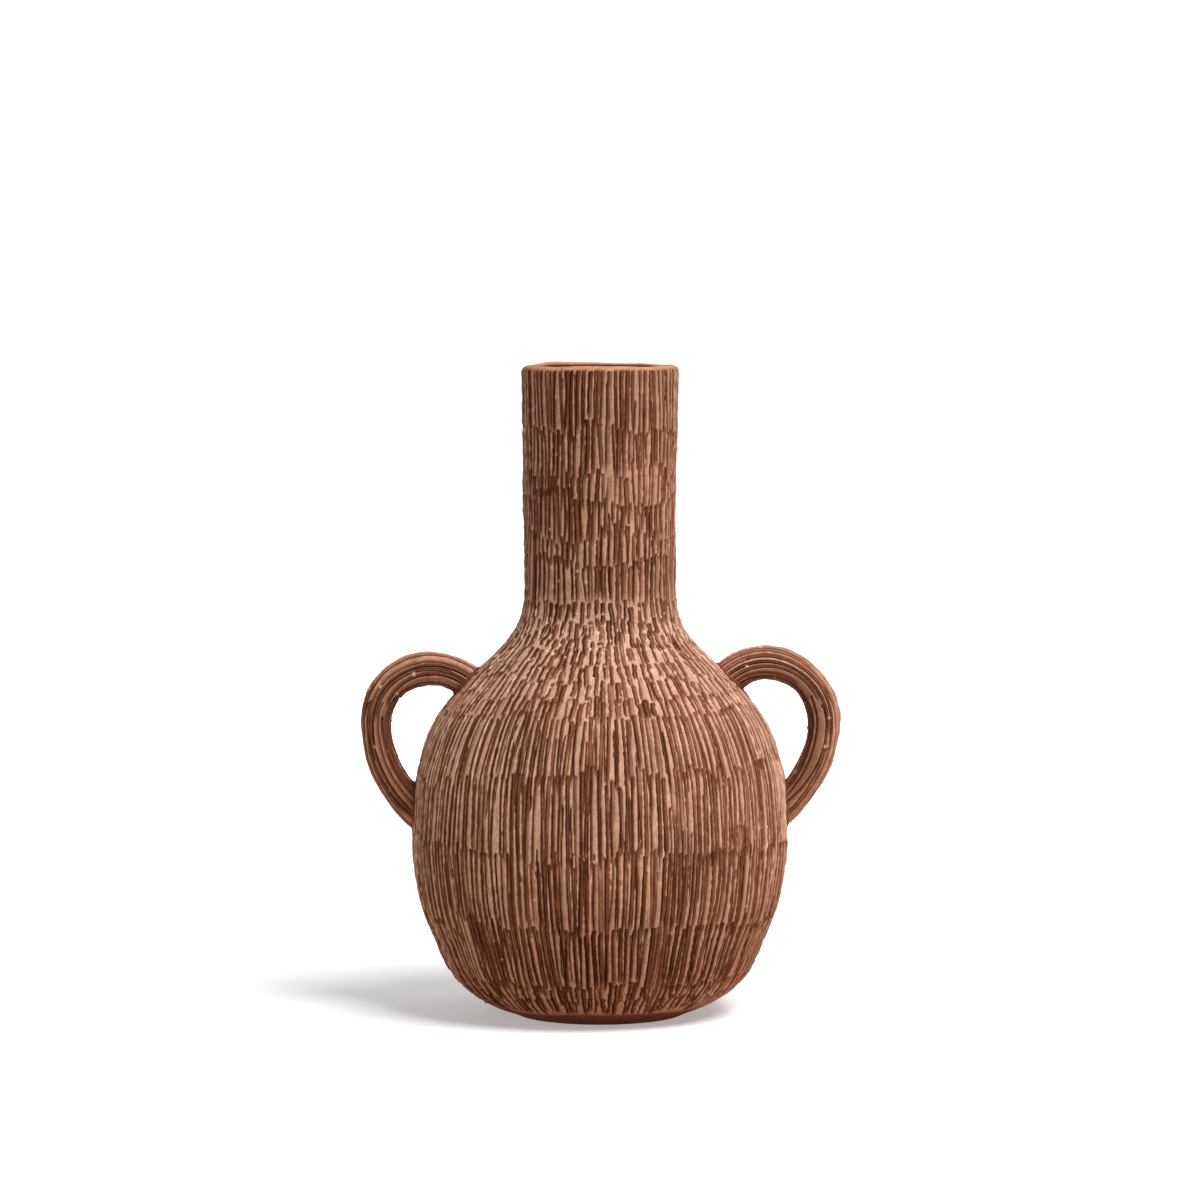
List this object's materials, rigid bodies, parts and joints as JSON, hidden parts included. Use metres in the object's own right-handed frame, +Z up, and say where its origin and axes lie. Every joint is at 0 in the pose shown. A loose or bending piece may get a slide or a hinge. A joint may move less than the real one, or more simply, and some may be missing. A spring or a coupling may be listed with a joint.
{
  "type": "vase",
  "caption": "Handmade unglazed terracotta amphora vase with a round belly, a tall neck, two loop handles and a surface carved all over with short upright strokes.",
  "frame": {"origin": "centre of the flat underside", "axes": "+Z up along the vase's axis, +X from the axis to the right handle, +Y from the front to the back"},
  "size_m": [0.2216, 0.1726, 0.3],
  "materials": {
    "bare_clay": "unglazed fired terracotta, smoothed by hand, matt",
    "carved_clay": "unglazed fired terracotta, gouged all over in rows of short upright strokes, matt",
    "scored_clay": "unglazed fired terracotta, scored lengthwise, matt",
    "luting_clay": "unglazed fired terracotta, smeared and scored by hand, matt",
    "inner_clay": "unglazed fired terracotta, smoothed inside by hand, matt"
  },
  "bodies": {
    "root": {"floor_slab": "bare_clay", "base_wall": "carved_clay", "lower_wall": "carved_clay", "belly_wall": "carved_clay", "upper_belly_wall": "carved_clay", "shoulder_wall": "carved_clay", "neck_cylinder": "carved_clay", "rim_coil": "bare_clay", "floor_seam_coil": "inner_clay", "left_handle": "scored_clay", "right_handle": "scored_clay", "left_upper_luting": "luting_clay", "left_lower_luting": "luting_clay", "right_upper_luting": "luting_clay", "right_lower_luting": "luting_clay"}
  },
  "joints": []
}
